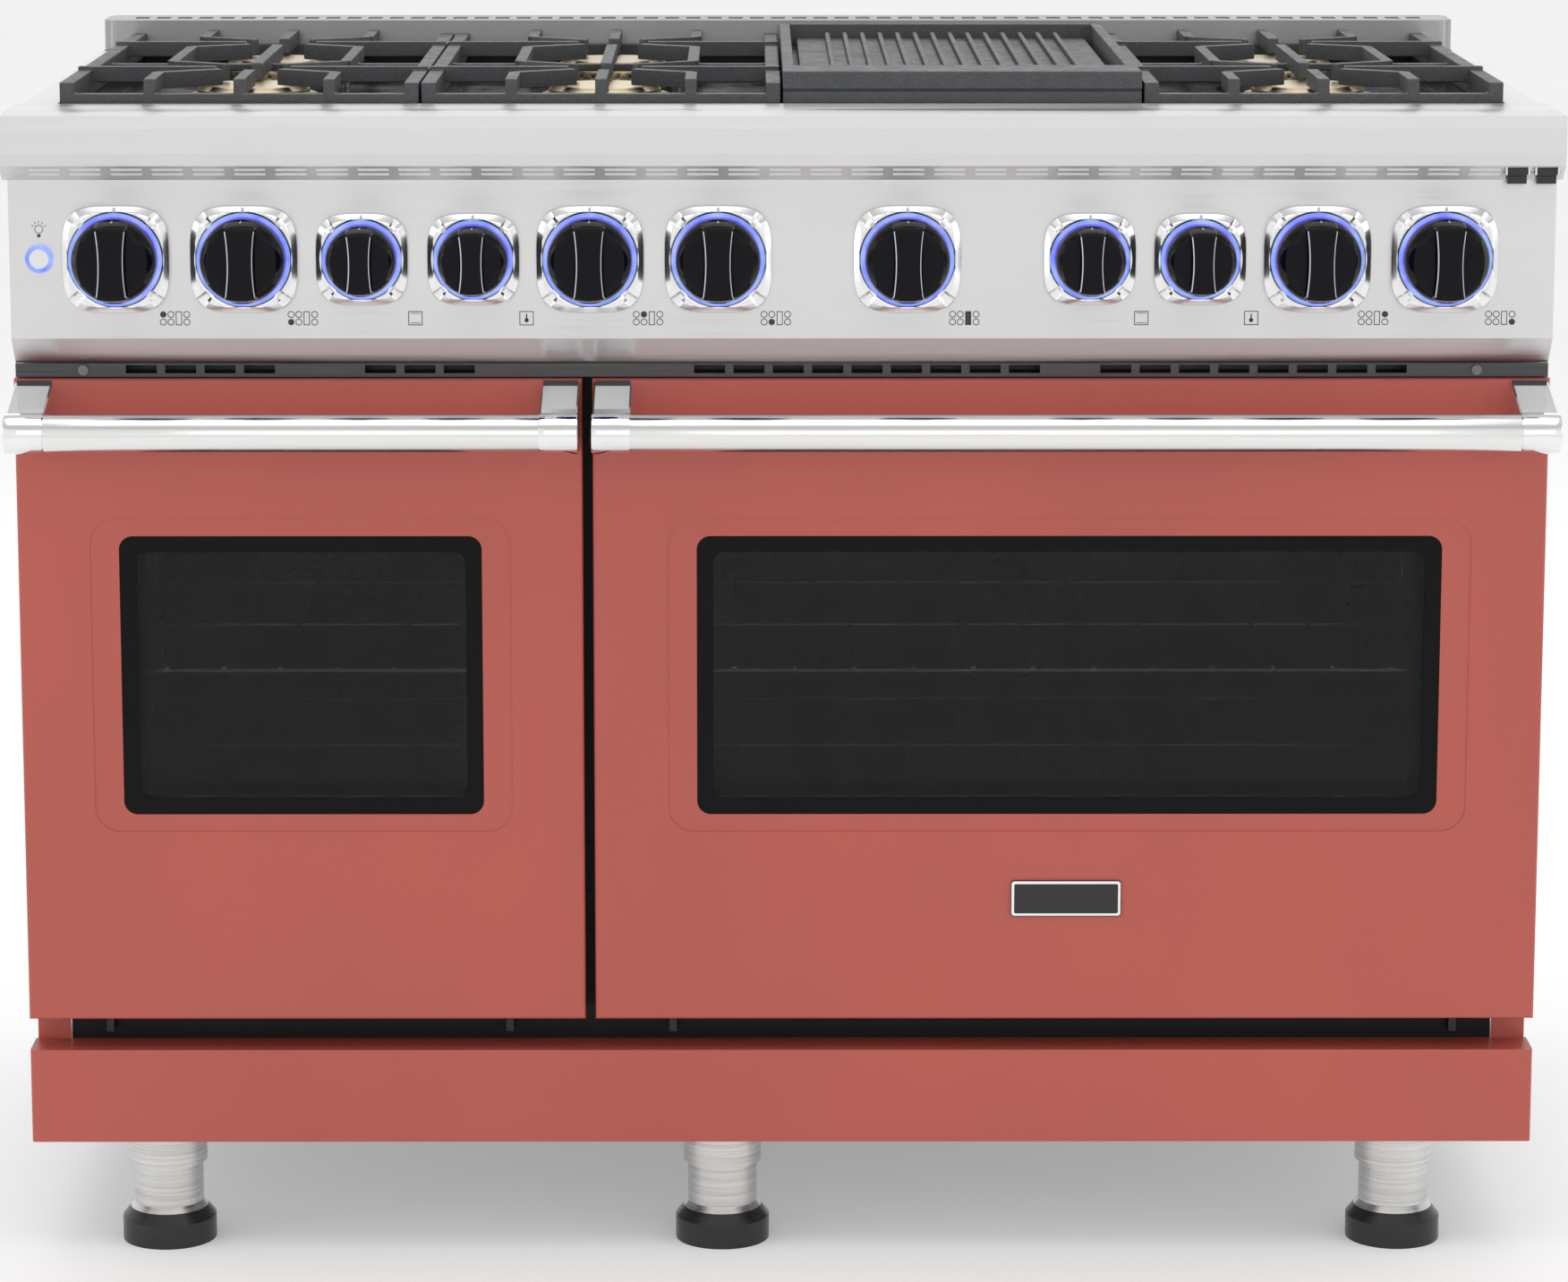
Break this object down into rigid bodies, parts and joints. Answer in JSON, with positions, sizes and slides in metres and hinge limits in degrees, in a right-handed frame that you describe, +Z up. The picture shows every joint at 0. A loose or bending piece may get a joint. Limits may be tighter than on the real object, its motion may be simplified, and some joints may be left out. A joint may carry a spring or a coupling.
{
  "type": "freestanding gas range",
  "caption": "Wide freestanding gas range with open burners under cast grates, a griddle bay, a knob panel and a small and a large drop-door oven side by side.",
  "frame": {"origin": "on the floor, under the middle of the overall box", "axes": "+Z up, +X to the right seen from the front, -Y out of the doors"},
  "size_m": [1.216, 0.7286, 0.952],
  "materials": {
    "stainless": "brushed",
    "galvanised": "matt",
    "coral_paint": "satin paint",
    "leg_steel": "brushed",
    "chrome": "polished",
    "light_guide": "clear, lit blue",
    "valve_brass": "machined",
    "screw_steel": "plain",
    "oven_enamel": "gloss porcelain enamel",
    "wire": "bright",
    "gasket": "woven",
    "black_enamel": "gloss porcelain enamel",
    "burner_aluminium": "cast",
    "burner_brass": "satin",
    "cast_iron": "matt",
    "button_metal": "polished",
    "black_plastic": "matt",
    "badge_metal": "polished",
    "knob_black": "gloss",
    "oven_glass": "tinted",
    "handle_steel": "polished"
  },
  "bodies": {
    "range_body": {"side_panels": "stainless", "back_panel": "stainless", "base_pan": "galvanised", "kick_panel": "coral_paint", "levelling_legs": "leg_steel", "landing_ledge": "stainless", "control_panel": "stainless", "knob_bezels": "chrome", "light_rings": "light_guide", "gas_valves": "valve_brass", "face_frame": "stainless", "panel_screws": "screw_steel", "oven_cavities": "oven_enamel", "rack_guides": "wire", "fan_covers": "oven_enamel", "fan_motors": "galvanised", "oven_gaskets": "gasket", "door_hinges": "screw_steel", "spill_trays": "black_enamel", "burner_bases": "burner_aluminium", "burner_heads": "burner_brass", "burner_caps": "burner_brass", "griddle_surround": "cast_iron", "tube_burners": "galvanised", "island_trim": "stainless", "service_inlets": "valve_brass"},
    "door_left": {"door_skin_left": "coral_paint", "door_liner_left": "stainless", "door_glass_left": "oven_glass", "door_handle_left": "handle_steel"},
    "door_right": {"door_skin_right": "coral_paint", "door_liner_right": "stainless", "door_glass_right": "oven_glass", "door_handle_right": "handle_steel", "door_badge": "badge_metal"},
    "knob_burner_left_rear": {"knob_burner_left_rear": "knob_black"},
    "knob_burner_left_front": {"knob_burner_left_front": "knob_black"},
    "knob_selector_left": {"knob_selector_left": "knob_black"},
    "knob_thermostat_left": {"knob_thermostat_left": "knob_black"},
    "knob_burner_middle_rear": {"knob_burner_middle_rear": "knob_black"},
    "knob_burner_middle_front": {"knob_burner_middle_front": "knob_black"},
    "knob_griddle": {"knob_griddle": "knob_black"},
    "knob_selector_right": {"knob_selector_right": "knob_black"},
    "knob_thermostat_right": {"knob_thermostat_right": "knob_black"},
    "knob_burner_right_rear": {"knob_burner_right_rear": "knob_black"},
    "knob_burner_right_front": {"knob_burner_right_front": "knob_black"},
    "light_button": {"light_button": "button_metal"},
    "rocker_switch_left": {"rocker_switch_left": "black_plastic"},
    "rocker_switch_right": {"rocker_switch_right": "black_plastic"},
    "grate_left": {"grate_left": "cast_iron"},
    "grate_middle": {"grate_middle": "cast_iron"},
    "grate_right": {"grate_right": "cast_iron"},
    "griddle_plate": {"griddle_plate": "cast_iron"},
    "oven_rack_left_1": {"oven_rack_left_1": "wire"},
    "oven_rack_left_2": {"oven_rack_left_2": "wire"},
    "oven_rack_right_1": {"oven_rack_right_1": "wire"},
    "oven_rack_right_2": {"oven_rack_right_2": "wire"},
    "oven_rack_right_3": {"oven_rack_right_3": "wire"},
    "convection_fan_left": {"convection_fan_left": "galvanised"},
    "convection_fan_right": {"convection_fan_right": "galvanised"}
  },
  "joints": [
    {"name": "door_left_hinge", "type": "hinge", "parent": "range_body", "child": "door_left", "pos_m": [-0.38105, -0.262, 0.1995], "axis": [1, 0, 0], "range_deg": [0, 90], "stiffness_Nm_per_rad": 10, "springref_deg": -28.65},
    {"name": "door_right_hinge", "type": "hinge", "parent": "range_body", "child": "door_right", "pos_m": [0.22755, -0.262, 0.1995], "axis": [1, 0, 0], "range_deg": [0, 90], "stiffness_Nm_per_rad": 16, "springref_deg": -28.65},
    {"name": "knob_burner_left_rear_turn", "type": "hinge", "parent": "range_body", "child": "knob_burner_left_rear", "pos_m": [-0.52, -0.32, 0.812], "axis": [0, -1, 0], "range_deg": [0, 270]},
    {"name": "knob_burner_left_front_turn", "type": "hinge", "parent": "range_body", "child": "knob_burner_left_front", "pos_m": [-0.42, -0.32, 0.812], "axis": [0, -1, 0], "range_deg": [0, 270]},
    {"name": "knob_selector_left_turn", "type": "hinge", "parent": "range_body", "child": "knob_selector_left", "pos_m": [-0.328, -0.32, 0.812], "axis": [0, -1, 0], "range_deg": [0, 300]},
    {"name": "knob_thermostat_left_turn", "type": "hinge", "parent": "range_body", "child": "knob_thermostat_left", "pos_m": [-0.241, -0.32, 0.812], "axis": [0, -1, 0], "range_deg": [0, 300]},
    {"name": "knob_burner_middle_rear_turn", "type": "hinge", "parent": "range_body", "child": "knob_burner_middle_rear", "pos_m": [-0.15, -0.32, 0.812], "axis": [0, -1, 0], "range_deg": [0, 270]},
    {"name": "knob_burner_middle_front_turn", "type": "hinge", "parent": "range_body", "child": "knob_burner_middle_front", "pos_m": [-0.05, -0.32, 0.812], "axis": [0, -1, 0], "range_deg": [0, 270]},
    {"name": "knob_griddle_turn", "type": "hinge", "parent": "range_body", "child": "knob_griddle", "pos_m": [0.0975, -0.32, 0.812], "axis": [0, -1, 0], "range_deg": [0, 270]},
    {"name": "knob_selector_right_turn", "type": "hinge", "parent": "range_body", "child": "knob_selector_right", "pos_m": [0.24, -0.32, 0.812], "axis": [0, -1, 0], "range_deg": [0, 300]},
    {"name": "knob_thermostat_right_turn", "type": "hinge", "parent": "range_body", "child": "knob_thermostat_right", "pos_m": [0.326, -0.32, 0.812], "axis": [0, -1, 0], "range_deg": [0, 300]},
    {"name": "knob_burner_right_rear_turn", "type": "hinge", "parent": "range_body", "child": "knob_burner_right_rear", "pos_m": [0.4175, -0.32, 0.812], "axis": [0, -1, 0], "range_deg": [0, 270]},
    {"name": "knob_burner_right_front_turn", "type": "hinge", "parent": "range_body", "child": "knob_burner_right_front", "pos_m": [0.517, -0.32, 0.812], "axis": [0, -1, 0], "range_deg": [0, 270]},
    {"name": "light_button_press", "type": "slide", "parent": "range_body", "child": "light_button", "axis": [0, 1, 0], "range_m": [0, 0.002], "stiffness_N_per_m": 600},
    {"name": "rocker_switch_left_tip", "type": "hinge", "parent": "range_body", "child": "rocker_switch_left", "pos_m": [0.571, -0.30912, 0.88168], "axis": [1, 0, 0], "range_deg": [-10, 10]},
    {"name": "rocker_switch_right_tip", "type": "hinge", "parent": "range_body", "child": "rocker_switch_right", "pos_m": [0.594, -0.30912, 0.88168], "axis": [1, 0, 0], "range_deg": [-10, 10]},
    {"name": "grate_left_lift", "type": "slide", "parent": "range_body", "child": "grate_left", "axis": [0, 0, 1], "range_m": [0, 0.08]},
    {"name": "grate_middle_lift", "type": "slide", "parent": "range_body", "child": "grate_middle", "axis": [0, 0, 1], "range_m": [0, 0.08]},
    {"name": "grate_right_lift", "type": "slide", "parent": "range_body", "child": "grate_right", "axis": [0, 0, 1], "range_m": [0, 0.08]},
    {"name": "griddle_plate_lift", "type": "slide", "parent": "range_body", "child": "griddle_plate", "axis": [0, 0, 1], "range_m": [0, 0.08]},
    {"name": "oven_rack_left_1_slide", "type": "slide", "parent": "range_body", "child": "oven_rack_left_1", "axis": [0, -1, 0], "range_m": [0, 0.02]},
    {"name": "oven_rack_left_2_slide", "type": "slide", "parent": "range_body", "child": "oven_rack_left_2", "axis": [0, -1, 0], "range_m": [0, 0.02]},
    {"name": "oven_rack_right_1_slide", "type": "slide", "parent": "range_body", "child": "oven_rack_right_1", "axis": [0, -1, 0], "range_m": [0, 0.02]},
    {"name": "oven_rack_right_2_slide", "type": "slide", "parent": "range_body", "child": "oven_rack_right_2", "axis": [0, -1, 0], "range_m": [0, 0.02]},
    {"name": "oven_rack_right_3_slide", "type": "slide", "parent": "range_body", "child": "oven_rack_right_3", "axis": [0, -1, 0], "range_m": [0, 0.02]},
    {"name": "convection_fan_left_spin", "type": "hinge", "parent": "range_body", "child": "convection_fan_left", "pos_m": [-0.38105, 0.195, 0.48505], "axis": [0, -1, 0], "continuous": true},
    {"name": "convection_fan_right_spin", "type": "hinge", "parent": "range_body", "child": "convection_fan_right", "pos_m": [0.22755, 0.195, 0.48505], "axis": [0, -1, 0], "continuous": true}
  ]
}
